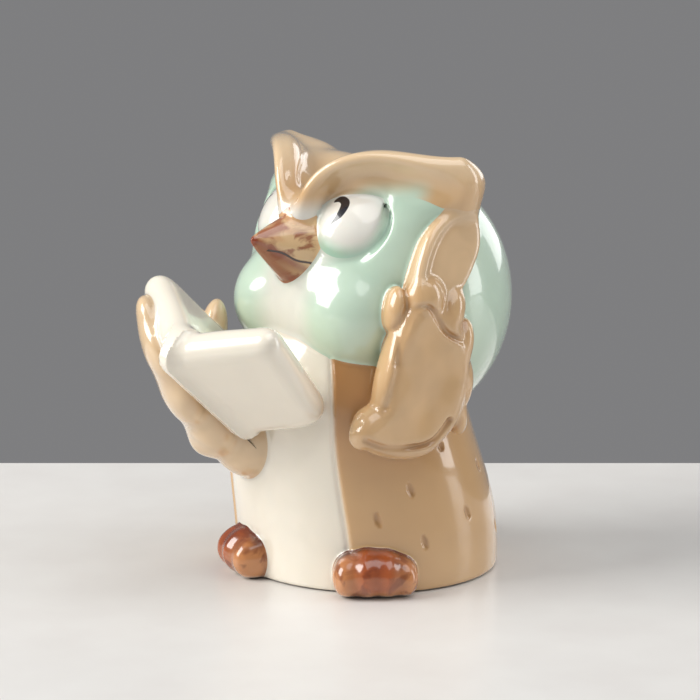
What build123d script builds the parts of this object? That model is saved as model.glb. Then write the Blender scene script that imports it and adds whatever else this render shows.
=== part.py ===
from build123d import *
import os

# Figural coin bank: a glazed slip-cast owl that reads an open book. Millimetres.
# Row frame: origin at the centre of the round foot ring on the surface it stands on, +Z up,
# the body faces -Y and the owl's left side is +X. The head and the book are turned to the
# owl's right, so they are modelled in a head frame that is the row frame before that turn.

# ---- driving dimensions
HEAD_TURN = -16.5          # yaw of the head, brows, eyes, beak and book, degrees
HEAD_PITCH = 10.0          # tilt of the skull's long axis towards the face, degrees
WALL = 3.2                 # clay wall left by slip casting
FLOOR = 5.0                # clay at the base, thick enough to carry the stopper's seat
BODY_SECTIONS = [          # height, centre x, centre y, half width, half depth
    (0.0, -0.5, 0.5, 36.8, 34.5),
    (10.0, -0.5, 0.5, 37.0, 34.5),
    (25.0, -1.8, -1.5, 36.2, 34.0),
    (40.0, -2.8, -4.5, 33.8, 32.0),
    (52.0, -3.0, -6.0, 30.8, 30.3),
    (62.0, -3.0, -6.0, 27.5, 27.0),
    (70.0, -3.5, -6.0, 19.0, 19.0),
]
CAVITY_TOP_SECTION = 5     # the body's cavity stops at this section, inside the head's own cavity
RING_WIDTH = 6.0           # flat foot ring left around the recessed underside
RING_DEPTH = 1.5
HOLE_R = 16.0              # emptying hole in the base, passes the largest coins
SEAT_R = 19.0              # counterbore that hides the stopper's flange
SEAT_DEPTH = 2.0
STOPPER_GAP = 0.3          # radial clearance of the stopper
FLANGE_T = 1.6
PLUG_T = 5.0
GRIP_R = 11.2              # hollow in the stopper's underside, for the fingers
GRIP_DEPTH = 3.6
GRIP_WEB = (24.0, 2.4)     # web across that hollow, length and thickness
SKULL_C = (0.5, 5.0, 76.0)
SKULL_R = (36.3, 36.3, 38.0)
CHEEK_C = (13.5, -17.0, 75.5)
CHEEK_R = 15.2
EYE_C = (15.0, -19.2, 97.5)
EYE_R = (11.4, 9.2, 6.2)   # along the tilted oval, across it, and out of the face
EYE_LONG = (0.55, 0.15, 0.82)
EYE_OUT = (0.45, -0.72, 0.54)
BEAK_BASE = (0.0, -24.0, 92.2)
BEAK_TIP = (0.0, -43.6, 97.2)
BEAK_HALF = (10.6, 11.2)   # half width and half height where it leaves the face
BEAK_TAPER = [             # share of the way from base to tip, share of the full section
    (-0.25, 1.0),
    (0.0, 1.0),
    (0.5, 0.56),
    (0.9, 0.17),
    (1.0, 0.06),
]
SLOT = (34.0, 4.6)         # coin slot, length and height
SLOT_Z = 92.0
BROW_LEAN = (0.0, -0.3, 1.0)         # the brow's section stands up along this
BROW_PATH = [              # point on the brow, half height, half thickness
    ((1.5, -25.6, 100.5), 2.2, 2.0),
    ((4.5, -24.5, 107.5), 3.8, 2.8),
    ((10.0, -19.0, 112.0), 5.6, 3.4),
    ((18.0, -12.0, 113.6), 7.0, 4.2),
    ((27.0, -4.0, 112.4), 7.5, 5.0),
    ((34.0, 3.0, 110.6), 7.3, 5.6),
    ((38.5, 7.0, 110.0), 5.6, 4.6),
]
BOOK_TOP = (0.0, -75.0, 69.0)        # outer ridge of the spine, top end
BOOK_FOOT = (0.0, -45.0, 42.6)       # outer ridge of the spine, end at the belly
BOOK_COVERS = {                      # side, outer top corner, foot width over top width
    "left": (1, (28.0, -61.5, 74.3), 0.75),
    "right": (-1, (-26.6, -61.4, 84.0), 0.90),
}
BOOK_T = 9.5
BOOK_EDGE_R = 2.4
BOOK_SPINE_LAP = 0.4       # share of its width by which a cover runs on past the spine before trimming
BOOK_SPAN = 60.0           # generous size of the trimming space
WING_OUT = (0.8, -0.58, 0.1)         # the way the raised wing's broad face looks
WING_FEATHERS = [          # centre, half length, half width, half thickness, direction
    ((29.5, -20.5, 60.0), (25.0, 11.5, 6.0), (0.05, 0.10, 1.0)),
    ((26.5, -28.0, 48.6), (12.5, 8.2, 5.5), (-0.75, -0.65, 0.10)),
    ((32.5, -19.5, 79.5), (8.0, 7.0, 5.5), (0.1, 0.1, 1.0)),
    ((25.0, -26.5, 79.0), (6.5, 3.8, 4.0), (0.0, 0.1, 1.0)),
]
PRIMARY_C = (33.0, -10.5, 89.0)      # the flat feather up the side of the head
PRIMARY_R = (19.0, 8.5, 4.4)
PRIMARY_ALONG = (-0.05, 0.45, 1.0)
PRIMARY_OUT = (0.85, -0.45, 0.2)
HAND_SPREAD = (-0.64, 0.61, 0.46)    # from the spine towards the fore-edge of the carried cover
HAND_PATH = [              # point on the carrying wing, half width, half thickness
    ((-21.0, -22.0, 35.0), 10.0, 10.0),
    ((-24.5, -32.0, 40.0), 11.0, 9.6),
    ((-27.5, -42.5, 49.0), 12.5, 7.8),
    ((-31.0, -47.0, 61.0), 14.0, 5.4),
    ((-33.0, -56.0, 71.5), 12.0, 4.0),
    ((-34.5, -60.5, 77.5), 7.0, 2.8),
]
FOOT_R = 34.5              # toes' centres from the origin
FOOT_ANGLES = {"left": 33.0, "right": -42.0}
TOE_R = (8.0, 3.8, 6.4)    # along the toe, across it, upright
TOE_Z = 6.2
TOE_PITCH = 4.7
TOE_COUNT = 4
TOE_LEAD = 1.2             # the two middle toes reach this much further
FOOT_SPAN = 60.0           # generous size of the space above the ground that a foot keeps
SIDES = (("left", 1), ("right", -1))

HEAD = Rotation(0, 0, HEAD_TURN)


def ellipsoid(centre, radii, along=(1, 0, 0), up=(0, 0, 1)):
    """An ellipsoid whose first radius lies along one direction and third lies nearest to up."""
    ball = scale(Sphere(1), by=radii)
    side = Vector(*up).cross(Vector(*along))
    normal = Vector(*along).cross(side)
    return Plane(centre, x_dir=Vector(*along), z_dir=normal) * ball


def mirrored(point, side):
    return (point[0] * side, point[1], point[2])


def body_form(inset, bottom, top):
    """The body's loft up to section number top, drawn in by inset, starting at height bottom."""
    faces = []
    for z, cx, cy, half_x, half_y in BODY_SECTIONS[:top + 1]:
        level = max(z, bottom)
        faces.append(Plane((cx, cy, level)) * Ellipse(half_x - inset, half_y - inset))
    return loft(faces)


def skull(inset):
    """The head's egg with both cheeks, drawn in by inset, in the row frame."""
    radii = tuple(r - inset for r in SKULL_R)
    form = Pos(*SKULL_C) * Rotation(HEAD_PITCH, 0, 0) * scale(Sphere(1), by=radii)
    for side in (1, -1):
        form += Pos(*mirrored(CHEEK_C, side)) * Sphere(CHEEK_R - inset)
    return HEAD * form


def base_openings():
    """Recessed underside, counterbore and through hole, as one tool."""
    _, cx, cy, half_x, half_y = BODY_SECTIONS[0]
    recess = Pos(cx, cy, 0) * extrude(Ellipse(half_x - RING_WIDTH, half_y - RING_WIDTH), RING_DEPTH)
    seat = extrude(Circle(SEAT_R), RING_DEPTH + SEAT_DEPTH)
    hole = extrude(Circle(HOLE_R), FLOOR + WALL)
    return recess + seat + hole


def coin_slot():
    """Round-ended slot cut straight through the back of the head."""
    length, height = SLOT
    back = SKULL_C[1] + SKULL_R[1] + WALL
    plane = Plane((SKULL_C[0], SKULL_C[1], SLOT_Z), x_dir=(1, 0, 0), z_dir=(0, 1, 0))
    return HEAD * extrude(plane * SlotOverall(length, height), back - SKULL_C[1])


def brow(side):
    """A brow ridge swept from the root of the beak to its blunt ear tuft."""
    faces = []
    points = [Vector(*mirrored(p, side)) for p, _, _ in BROW_PATH]
    for i, (_, half_h, half_t) in enumerate(BROW_PATH):
        before = points[max(i - 1, 0)]
        after = points[min(i + 1, len(points) - 1)]
        along = (after - before).normalized()
        across = along.cross(Vector(*BROW_LEAN)).normalized()
        faces.append(Plane(points[i], x_dir=across, z_dir=along) * Ellipse(half_t, half_h))
    return HEAD * loft(faces)


def eye(side):
    return HEAD * ellipsoid(mirrored(EYE_C, side), EYE_R, mirrored(EYE_LONG, side), mirrored(EYE_OUT, side))


def beak():
    """A blunt cone of oval section from the face to the tip."""
    root, tip = Vector(*BEAK_BASE), Vector(*BEAK_TIP)
    axis = tip - root
    half_w, half_h = BEAK_HALF
    faces = []
    for reach, size in BEAK_TAPER:
        plane = Plane(root + axis * reach, x_dir=(1, 0, 0), z_dir=axis)
        faces.append(plane * Ellipse(half_w * size, half_h * size))
    return HEAD * loft(faces)


def cover_leaf(side, corner, taper):
    """One thick cover with its pages, from the spine's middle plane to the fore-edge."""
    top, foot = Vector(*BOOK_TOP), Vector(*BOOK_FOOT)
    reach = Vector(*corner) - top
    inner = reach * -BOOK_SPINE_LAP
    outline = [top + inner, top + reach, foot + reach * taper, foot + inner]
    normal = reach.cross(foot - top).normalized()
    if normal.Y < 0:
        normal = normal * -1
    slab = extrude(make_face(Polyline(*outline, close=True)), amount=BOOK_T, dir=normal)
    slab = fillet(slab.edges(), BOOK_EDGE_R)
    half_space = Box(BOOK_SPAN, BOOK_SPAN * 2, BOOK_SPAN * 2)
    return slab & Pos(side * BOOK_SPAN / 2, BOOK_TOP[1], BOOK_TOP[2]) * half_space


def book():
    """Both covers, joined on the spine's middle plane."""
    leaves = [cover_leaf(*cover) for cover in BOOK_COVERS.values()]
    return HEAD * (leaves[0] + leaves[1])


def wing_left():
    """The raised wing: a palm of overlapping feathers with two knuckles at its top."""
    feathers = [ellipsoid(centre, radii, along, WING_OUT) for centre, radii, along in WING_FEATHERS]
    form = feathers[0]
    for feather in feathers[1:]:
        form += feather
    return form


def wing_left_feather():
    """The flat primary feather that lies up the side of the head to the tuft."""
    return ellipsoid(PRIMARY_C, PRIMARY_R, PRIMARY_ALONG, PRIMARY_OUT)


def wing_right():
    """The wing that carries the book: a thick root on the belly, a thin hand along the cover."""
    faces = []
    spread = Vector(*HAND_SPREAD)
    for i, (centre, half_w, half_t) in enumerate(HAND_PATH):
        before = Vector(*HAND_PATH[max(i - 1, 0)][0])
        after = Vector(*HAND_PATH[min(i + 1, len(HAND_PATH) - 1)][0])
        along = (after - before).normalized()
        across = (spread - along * spread.dot(along)).normalized()
        faces.append(Plane(centre, x_dir=across, z_dir=along) * Ellipse(half_w, half_t))
    return loft(faces)


def foot(angle):
    """Four toes side by side, flat where they touch the surface."""
    long, wide, high = TOE_R
    ball = scale(Rotation(90, 0, 0) * Rotation(0, 0, 90) * Sphere(1), by=(wide, long, high))
    form = None
    for i in range(TOE_COUNT):
        offset = (i - (TOE_COUNT - 1) / 2) * TOE_PITCH
        lead = TOE_LEAD if abs(offset) < TOE_PITCH else 0.0
        toe = Pos(offset, -FOOT_R - lead, TOE_Z) * ball
        form = toe if form is None else form + toe
    ground = Pos(0, -FOOT_R, FOOT_SPAN / 2) * Box(FOOT_SPAN, FOOT_SPAN, FOOT_SPAN)
    return Rotation(0, 0, angle) * (form & ground)


def base_stopper():
    """Soft plug with a flange that hides in the counterbore and a grip web across its hollow."""
    base = Pos(0, 0, RING_DEPTH)
    flange = base * extrude(Circle(SEAT_R - STOPPER_GAP), FLANGE_T)
    plug = base * extrude(Circle(HOLE_R - STOPPER_GAP), FLANGE_T + PLUG_T)
    grip_hollow = base * extrude(Circle(GRIP_R), GRIP_DEPTH)
    web = base * extrude(Rectangle(*GRIP_WEB), GRIP_DEPTH)
    return flange + plug - grip_hollow + web


skull_outer = skull(0)
skull_inner = skull(WALL)
body_outer = body_form(0, 0, len(BODY_SECTIONS) - 1)
body_inner = body_form(WALL, FLOOR, CAVITY_TOP_SECTION)

head_shell = skull_outer - skull_inner - body_inner - coin_slot()
body_shell = body_outer - skull_outer - body_inner - base_openings()
solid_owl = skull_outer + body_outer

eyes = {side: eye(sign) - skull_outer for side, sign in SIDES}
beak_piece = beak() - skull_outer - eyes["left"] - eyes["right"]
brows = {}
for side, sign in SIDES:
    brows[side] = brow(sign) - skull_outer - eyes["left"] - eyes["right"] - beak_piece
brows["right"] = brows["right"] - brows["left"]
book_piece = book() - solid_owl
wing_left_piece = wing_left() - solid_owl
feather_piece = wing_left_feather() - solid_owl - wing_left_piece - brows["left"]
wing_right_piece = wing_right() - solid_owl - book_piece

nodes = {
    "body_shell": body_shell,
    "head_shell": head_shell,
    "brow_left": brows["left"],
    "brow_right": brows["right"],
    "eye_left": eyes["left"],
    "eye_right": eyes["right"],
    "beak": beak_piece,
    "open_book": book_piece,
    "wing_left": wing_left_piece,
    "wing_left_feather": feather_piece,
    "wing_right": wing_right_piece,
    "foot_left": foot(FOOT_ANGLES["left"]) - body_outer,
    "foot_right": foot(FOOT_ANGLES["right"]) - body_outer,
    "base_stopper": base_stopper(),
}

os.makedirs("parts", exist_ok=True)
for name, shape in nodes.items():
    pieces = sorted(shape.solids(), key=lambda s: -s.volume)
    print(name, len(pieces), [round(p.volume, 1) for p in pieces])
    export_step(shape, f"parts/{name}.step")
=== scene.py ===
"""Figural owl coin bank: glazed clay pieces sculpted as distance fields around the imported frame.

Every clay piece is a closed form given by a signed distance in millimetres. The forms are melted
together with small fillets, as glaze does, and the joined surface is cut into one mesh per piece.
"""
import math
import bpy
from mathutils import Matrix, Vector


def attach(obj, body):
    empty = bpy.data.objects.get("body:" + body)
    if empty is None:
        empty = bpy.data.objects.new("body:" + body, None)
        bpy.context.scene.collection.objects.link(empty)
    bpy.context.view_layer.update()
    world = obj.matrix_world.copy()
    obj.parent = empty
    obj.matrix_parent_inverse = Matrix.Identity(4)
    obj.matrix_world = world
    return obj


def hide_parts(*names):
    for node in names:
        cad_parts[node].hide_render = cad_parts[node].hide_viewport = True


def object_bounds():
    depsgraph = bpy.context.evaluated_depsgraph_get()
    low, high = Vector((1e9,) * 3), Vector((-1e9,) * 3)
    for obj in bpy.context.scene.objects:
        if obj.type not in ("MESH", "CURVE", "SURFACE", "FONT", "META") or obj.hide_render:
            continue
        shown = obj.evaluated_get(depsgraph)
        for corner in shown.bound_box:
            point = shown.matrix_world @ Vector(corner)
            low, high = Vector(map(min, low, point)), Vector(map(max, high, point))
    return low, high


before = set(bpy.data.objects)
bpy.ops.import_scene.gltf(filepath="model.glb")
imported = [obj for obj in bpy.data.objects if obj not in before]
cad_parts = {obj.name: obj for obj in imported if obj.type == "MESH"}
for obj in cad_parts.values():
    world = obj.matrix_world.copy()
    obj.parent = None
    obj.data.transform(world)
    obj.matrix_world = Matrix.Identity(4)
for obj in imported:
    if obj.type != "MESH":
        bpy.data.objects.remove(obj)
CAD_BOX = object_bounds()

from concurrent.futures import ThreadPoolExecutor

import bpy
import numpy as np
from mathutils import Vector

MM = 0.001
GRID_STEP = 0.64   # spacing of the sampling grid, mm
COARSE = 4                                # grid points per coarse block
NEAR = 12.0                               # a form is worked out exactly this close to it, mm
WALL = 3.2                                # cast clay wall
HEAD_TURN = math.radians(-16.5)           # the head and book are turned to the owl's right


# ------------------------------------------------------------------ vectors and curves
def unit(v):
    v = np.asarray(v, float)
    return v / np.linalg.norm(v)


def axes_of(along, out):
    """Columns: along, sideways, outward."""
    a = unit(along)
    o = unit(np.asarray(out, float) - np.dot(out, a) * a)
    return np.stack([a, np.cross(o, a), o], 1)


def turn_z(angle):
    c, s = math.cos(angle), math.sin(angle)
    return np.array([[c, -s, 0.0], [s, c, 0.0], [0.0, 0.0, 1.0]])


def pitch_x(angle):
    c, s = math.cos(angle), math.sin(angle)
    return np.array([[1.0, 0.0, 0.0], [0.0, c, -s], [0.0, s, c]])


HEAD_AXES = turn_z(HEAD_TURN)


def to_head(P):
    """Row-frame points in the turned head's own frame."""
    return P @ HEAD_AXES


class Spline:
    """Natural cubic curve through values given at increasing knots."""

    def __init__(self, knots, values):
        self.x = np.asarray(knots, float)
        self.y = np.asarray(values, float).reshape(len(self.x), -1)
        h = np.diff(self.x)
        n = len(self.x)
        A = np.eye(n)
        b = np.zeros((n, self.y.shape[1]))
        for i in range(1, n - 1):
            A[i, i - 1:i + 2] = h[i - 1], 2 * (h[i - 1] + h[i]), h[i]
            b[i] = 6 * ((self.y[i + 1] - self.y[i]) / h[i] - (self.y[i] - self.y[i - 1]) / h[i - 1])
        self.m = np.linalg.solve(A, b)
        self.h = h

    def __call__(self, s, order=0):
        s = np.clip(s, self.x[0], self.x[-1])
        i = np.clip(np.searchsorted(self.x, s) - 1, 0, len(self.h) - 1)
        h = self.h[i][:, None]
        a, b = (self.x[i + 1] - s)[:, None], (s - self.x[i])[:, None]
        m0, m1, y0, y1 = self.m[i], self.m[i + 1], self.y[i], self.y[i + 1]
        if order == 0:
            linear = (y0 / h - m0 * h / 6) * a + (y1 / h - m1 * h / 6) * b
            return (m0 * a ** 3 + m1 * b ** 3) / (6 * h) + linear
        if order == 1:
            return (m1 * b ** 2 - m0 * a ** 2) / (2 * h) + (y1 - y0) / h - (m1 - m0) * h / 6
        return (m0 * a + m1 * b) / h


# ------------------------------------------------------------------ distance fields
def blend(a, b, k):
    """Smaller of two distances, rounded over a width k where they meet."""
    h = np.clip(0.5 + 0.5 * (b - a) / k, 0, 1)
    return b + (a - b) * h - k * h * (1 - h)


def carve(a, b, k):
    """Form a with form b taken away, its rim rounded over k."""
    return -blend(-a, b, k)


def both(a, b, k):
    """Overlap of two forms, its edge rounded over k."""
    return -blend(-a, -b, k)


def near(P, centre, reach, form):
    """The form's distance where it matters, and a safe larger one far from it."""
    d = np.linalg.norm(P - centre, axis=1) - reach
    close = d < NEAR
    if close.any():
        d[close] = form(P[close])
    return d


def oval(q, radii):
    """Near-distance to an oval form from points in its own axes; radii are shared or one row per point."""
    r = np.asarray(radii, float)
    k0 = np.sqrt(((q / r) ** 2).sum(1)) + 1e-9
    k1 = np.sqrt(((q / (r * r)) ** 2).sum(1)) + 1e-9
    return k0 * (k0 - 1) / k1


def lobe(P, centre, radii, along=(1, 0, 0), out=(0, 0, 1)):
    """An ellipsoid with radii along, sideways and outward."""
    centre = np.asarray(centre, float)
    axes = axes_of(along, out)
    return near(P, centre, max(radii), lambda Q: oval((Q - centre) @ axes, radii))


class Ridge:
    """A solid swept along a smooth path with an oval section of changing size.

    Each station is (point, half height, half thickness, direction of the height).
    """

    def __init__(self, stations):
        points = np.array([s[0] for s in stations], float)
        run = np.concatenate([[0], np.cumsum(np.linalg.norm(np.diff(points, axis=0), axis=1))])
        self.path = Spline(run, points)
        self.size = Spline(run, [s[1:3] for s in stations])
        self.up = Spline(run, [unit(s[3]) for s in stations])
        self.length = run[-1]
        self.guess = np.linspace(0, self.length, 24)
        self.guess_points = self.path(self.guess)
        self.centre = points.mean(0)
        self.reach = np.linalg.norm(points - self.centre, axis=1).max() + max(max(s[1:3]) for s in stations)

    def nearest(self, P):
        gaps = ((P[:, None, :] - self.guess_points[None]) ** 2).sum(2)
        guess = self.guess[gaps.argmin(1)]
        low = np.maximum(guess - self.guess[1], 0)
        high = np.minimum(guess + self.guess[1], self.length)
        s = guess
        for _ in range(3):
            gap = self.path(s) - P
            slope, bend = self.path(s, 1), self.path(s, 2)
            step = (gap * slope).sum(1) / np.maximum((slope ** 2).sum(1) + (gap * bend).sum(1), 0.25)
            s = np.clip(s - step, low, high)
        return s

    def local(self, P):
        """Points in the path's own axes (along, height, thickness), and the section's half sizes there."""
        s = self.nearest(P)
        q = P - self.path(s)
        T = self.path(s, 1)
        T /= np.linalg.norm(T, axis=1)[:, None]
        U = self.up(s)
        U = U - (U * T).sum(1)[:, None] * T
        U /= np.linalg.norm(U, axis=1)[:, None]
        N = np.cross(T, U)
        size = np.maximum(self.size(s), 0.3)
        return np.stack([(q * T).sum(1), (q * U).sum(1), (q * N).sum(1)], 1), size

    def form(self, P):
        q, size = self.local(P)
        return oval(q, np.stack([size.min(1), size[:, 0], size[:, 1]], 1))

    def __call__(self, P):
        return near(P, self.centre, self.reach, self.form)


class Slab:
    """A flat plate with a smooth free-form outline, given in its own plane as (sideways, along) points."""

    def __init__(self, origin, along, out, outline, low, high, edge):
        self.origin = np.asarray(origin, float)
        self.axes = axes_of(along, out)
        ring = np.array(outline, float)
        padded = np.vstack([ring[-3:], ring, ring[:4]])
        count = len(ring)
        ring = Spline(np.arange(len(padded)), padded)(np.linspace(3, 3 + count, 3 * count + 1))
        self.starts, self.ends = ring[:-1], ring[1:]
        self.low, self.high, self.edge = low, high, edge
        self.reach = np.linalg.norm(ring, axis=1).max() + max(abs(low), abs(high))

    def outline_gap(self, x, y):
        """Distance to the outline, negative inside it."""
        gap = np.full(len(x), np.inf)
        inside = np.zeros(len(x), bool)
        for (ax, ay), (bx, by) in zip(self.starts, self.ends):
            ex, ey = bx - ax, by - ay
            t = np.clip(((x - ax) * ex + (y - ay) * ey) / (ex * ex + ey * ey), 0, 1)
            gap = np.minimum(gap, (x - ax - t * ex) ** 2 + (y - ay - t * ey) ** 2)
            crosses = (ay > y) != (by > y)
            inside ^= crosses & (x < ax + (y - ay) / (by - ay if by != ay else 1.0) * ex)
        return np.sqrt(gap) * np.where(inside, -1, 1)

    def place(self, P):
        """Sideways, along and outward coordinates."""
        q = (P - self.origin) @ self.axes
        return q[:, 1], q[:, 0], q[:, 2]

    def form(self, P):
        x, y, w = self.place(P)
        half = (self.high - self.low) / 2
        return both(self.outline_gap(x, y), np.abs(w - self.low - half) - half, self.edge)

    def __call__(self, P):
        return near(P, self.origin, self.reach, self.form)


def mirror(P, side):
    return P * np.array([side, 1.0, 1.0])


# ------------------------------------------------------------------ the owl's forms
BODY = Spline(
    [0, 10, 25, 40, 52, 62, 70, 78],
    [   # centre x, centre y, half width, half depth
        (-0.5, 0.5, 36.8, 34.5),
        (-0.6, 0.4, 37.0, 34.5),
        (-1.8, -1.5, 36.2, 33.9),
        (-2.8, -4.3, 33.8, 32.0),
        (-3.0, -5.6, 31.2, 30.6),
        (-3.2, -6.6, 28.2, 27.6),
        (-3.8, -7.6, 23.0, 22.2),
        (-4.0, -8.0, 15.0, 15.0),
    ],
)
BODY_TOP = 77.0
BELLY_TURN = math.radians(-17)       # direction the belly panel faces, from -Y towards the owl's left
BELLY_HALF = math.radians(40)        # half the angle that the belly panel takes up
COAT_STEP = 0.75                     # the coat stands this proud of the belly
SKULL_C = np.array([0.5, 5.0, 76.0])
SKULL_R = np.array([36.3, 36.3, 38.0])
SKULL_AXES = pitch_x(math.radians(10))
CHEEK_C = (13.5, -17.0, 75.5)
CHEEK_R = 15.2
EYE_FACE = np.array([15.2, -20.5, 101.4])     # middle of the visible eye
EYE_OUT = np.array([0.45, -0.68, 0.58])
EYE_LONG = np.array([0.283, 0.713, 0.616])
EYE_R = (10.3, 8.7, 5.4)
EYE_DEPTH = 2.9
BEAK_ROOT = np.array([0.0, -25.0, 92.6])
BEAK_TIP = np.array([0.0, -43.4, 97.1])
BEAK_HALF = (9.4, 11.4)


def belly_angle(P):
    """Angle round the body from the middle of the belly panel."""
    c = BODY(P[:, 2])
    t = np.arctan2(P[:, 0] - c[:, 0], -(P[:, 1] - c[:, 1]))
    return t - BELLY_TURN


def coat_border(P):
    """Distance along the body's skin past the edge of the coat; positive on the coat."""
    return (np.abs(belly_angle(P)) - BELLY_HALF) * 34.0


def body_section(P, inset):
    """Distance to the trunk's oval at each point's height, its wall moved inwards by inset."""
    c = BODY(P[:, 2])
    q = P[:, :2] - c[:, :2]
    return oval(q, c[:, 2:] - inset)


DIMPLES = [   # angle round the coat in degrees past its border, height
    (14, 21), (31, 29), (33, 14), (52, 40), (58, 20), (78, 31), (84, 12), (104, 22), (110, 41),
    (131, 30), (137, 13), (158, 23), (164, 40), (186, 31), (190, 14), (214, 24), (219, 41), (243, 16),
    (247, 33),
]


def dimple_points():
    """Centre, slanted direction and outward direction of each feather dash pressed into the coat."""
    found = []
    for degrees, z in DIMPLES:
        t = BELLY_TURN + BELLY_HALF + math.radians(degrees)
        cx, cy, rx, ry = BODY(np.array([float(z)]))[0]
        out = np.array([math.sin(t), -math.cos(t), 0.0])
        reach = 1 / math.hypot(out[0] / rx, out[1] / ry)
        centre = np.array([cx, cy, z]) + out * (reach + 0.55)
        sideways = np.array([math.cos(t), math.sin(t), 0.0])
        found.append((centre, unit(np.array([0, 0, 1.0]) - 0.35 * sideways), out))
    return found


DASHES = dimple_points()


def body(P):
    d = body_section(P, 0.0)
    past = coat_border(P)
    low = P[:, 2] < 74
    step = 0.5 + 0.5 * np.tanh(past / 0.55)
    groove = np.exp(-((past + 0.7) / 0.8) ** 2)
    d = d - np.where(low, COAT_STEP * 0.55 * step - 0.42 * groove, 0.0)
    for centre, along, out in DASHES:
        d = carve(d, lobe(P, centre, (2.1, 0.9, 0.75), along, out), 0.5)
    d = both(d, P[:, 2] - BODY_TOP, 9.0)
    return both(d, -P[:, 2], 1.6)


def head(P):
    p = to_head(P)
    d = oval((p - SKULL_C) @ SKULL_AXES, SKULL_R)
    for side in (1, -1):
        q = mirror(p, side)
        d = blend(d, lobe(q, CHEEK_C, (CHEEK_R,) * 3), 2.4)
        d = blend(d, lobe(q, (25.0, -12.5, 95.5), (10.0, 8.0, 3.4), (-0.2, 0.2, 1), (0.8, -0.6, 0.3)), 5.0)
        d = blend(d, lobe(q, (26.0, -3.8, 101.5), (8.0, 4.6, 5.5), (0.7, 0.7, 0), (0.7, -0.6, 0.4)), 6.0)
        d = blend(d, lobe(q, (28.5, 5.0, 101.0), (6.5, 6.0, 7.0)), 5.0)
        socket = EYE_FACE - EYE_OUT * 0.9
        d = carve(d, lobe(q, socket, (12.2, 10.6, 2.7), EYE_LONG, EYE_OUT), 2.0)
    return blend(d, lobe(p, (0.0, -19.0, 95.0), (6.5, 8.0, 13.0)), 5.0)


BROW_LINE = [   # middle of the brow: point, half height, half thickness, direction of the height
    ((2.8, -26.4, 102.0), 1.6, 1.6, (0.5, -0.5, 1.0)),
    ((5.8, -24.4, 108.4), 2.5, 2.2, (0.3, -0.5, 1.0)),
    ((10.3, -19.8, 113.6), 3.5, 2.8, (0.1, -0.45, 1.0)),
    ((17.0, -13.6, 115.2), 4.8, 3.8, (0.0, -0.35, 1.0)),
    ((25.0, -7.0, 112.8), 6.4, 4.6, (0.0, -0.25, 1.0)),
    ((30.6, -1.6, 111.2), 6.6, 4.8, (0.05, -0.15, 1.0)),
    ((33.6, 2.6, 110.2), 6.6, 4.8, (0.1, -0.1, 1.0)),
]
TROUGH_DEPTH = (0.3, 0.7, 1.0, 1.0, 0.6)     # share of the full hollow at each inner station
BROW = Ridge(BROW_LINE)
BROW_RIM = Ridge([
    ((2.6, -28.2, 102.4), 1.1, 1.1, (0.5, -0.5, 1.0)),
    ((5.4, -27.2, 109.4), 1.2, 1.2, (0.3, -0.5, 1.0)),
    ((9.6, -23.9, 114.9), 1.3, 1.3, (0.1, -0.45, 1.0)),
    ((16.5, -18.2, 118.0), 1.4, 1.4, (0.0, -0.35, 1.0)),
    ((25.0, -10.5, 117.4), 1.5, 1.5, (0.0, -0.25, 1.0)),
    ((31.0, -3.6, 116.0), 1.9, 1.9, (0.05, -0.15, 1.0)),
    ((34.0, 1.6, 115.6), 2.3, 2.3, (0.1, -0.1, 1.0)),
])


def trough_line():
    """The hollow front of the brow lies just outside its middle line and a little below it."""
    found = []
    for i, share in enumerate(TROUGH_DEPTH, 1):
        point, high, thick, up = BROW_LINE[i]
        out = unit(np.cross(np.subtract(BROW_LINE[i + 1][0], BROW_LINE[i - 1][0]), up))
        middle = np.array(point) + out * (thick * (2.5 - 0.85 * share)) - 1.5 * unit(up)
        found.append((middle, high * 0.95, thick * 1.25, up))
    return found


BROW_TROUGH = Ridge(trough_line())


def brow(P, side):
    p = mirror(to_head(P), side)
    d = carve(blend(BROW(p), BROW_RIM(p), 2.4), BROW_TROUGH(p), 2.4)
    lid = lobe(p, (12.0, -14.8, 109.0), (7.5, 3.2, 3.0), (0.8, 0.5, 0.25), EYE_OUT)
    d = blend(d, lid, 3.0)
    back = lobe(p, (27.5, 6.0, 109.6), (8.5, 6.0, 6.0), (1.0, 0.3, 0.1), (0, 0, 1))
    saddle = lobe(p, (16.0, 0.0, 108.0), (12.0, 9.0, 6.5), (1.0, 0.4, 0.0), (0, 0, 1))
    return blend(blend(d, back, 6.0), saddle, 6.0)


def eye(P, side):
    p = mirror(to_head(P), side)
    return lobe(p, EYE_FACE - EYE_OUT * EYE_DEPTH, EYE_R, EYE_LONG, EYE_OUT)


def beak(P):
    p = to_head(P)
    axis = unit(BEAK_TIP - BEAK_ROOT)
    length = np.linalg.norm(BEAK_TIP - BEAK_ROOT)
    frame_axes = axes_of(axis, (0, 0, 1))

    def form(Q):
        q = (Q - BEAK_ROOT) @ frame_axes
        t = np.clip(q[:, 0] / length, -0.4, 1.05)
        fade = np.maximum(1 - t, 0.0) * (1 + 0.16 * t) + 0.035
        w, h = BEAK_HALF[0] * fade, BEAK_HALF[1] * fade
        p_round = 1.72
        k = ((np.abs(q[:, 1]) / w) ** p_round + (np.abs(q[:, 2]) / h) ** p_round + 1e-9) ** (1 / p_round)
        d = (k - 1) * np.minimum(w, h) * 0.86
        return both(both(d, q[:, 0] - length, 1.6), -q[:, 0] - 6, 1.0)

    return near(p, (BEAK_ROOT + BEAK_TIP) / 2, 16.0, form)


SPINE_TOP = np.array([0.0, -75.0, 69.0])
SPINE_FOOT = np.array([0.0, -45.0, 42.6])
COVERS = {   # side: outer top corner, foot width over top width, roundness of the foot corner
    1: (np.array([28.4, -61.4, 74.5]), 0.76, 8.0),
    -1: (np.array([-26.6, -61.4, 84.0]), 0.90, 6.0),
}
BOOK_T = 9.5


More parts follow.
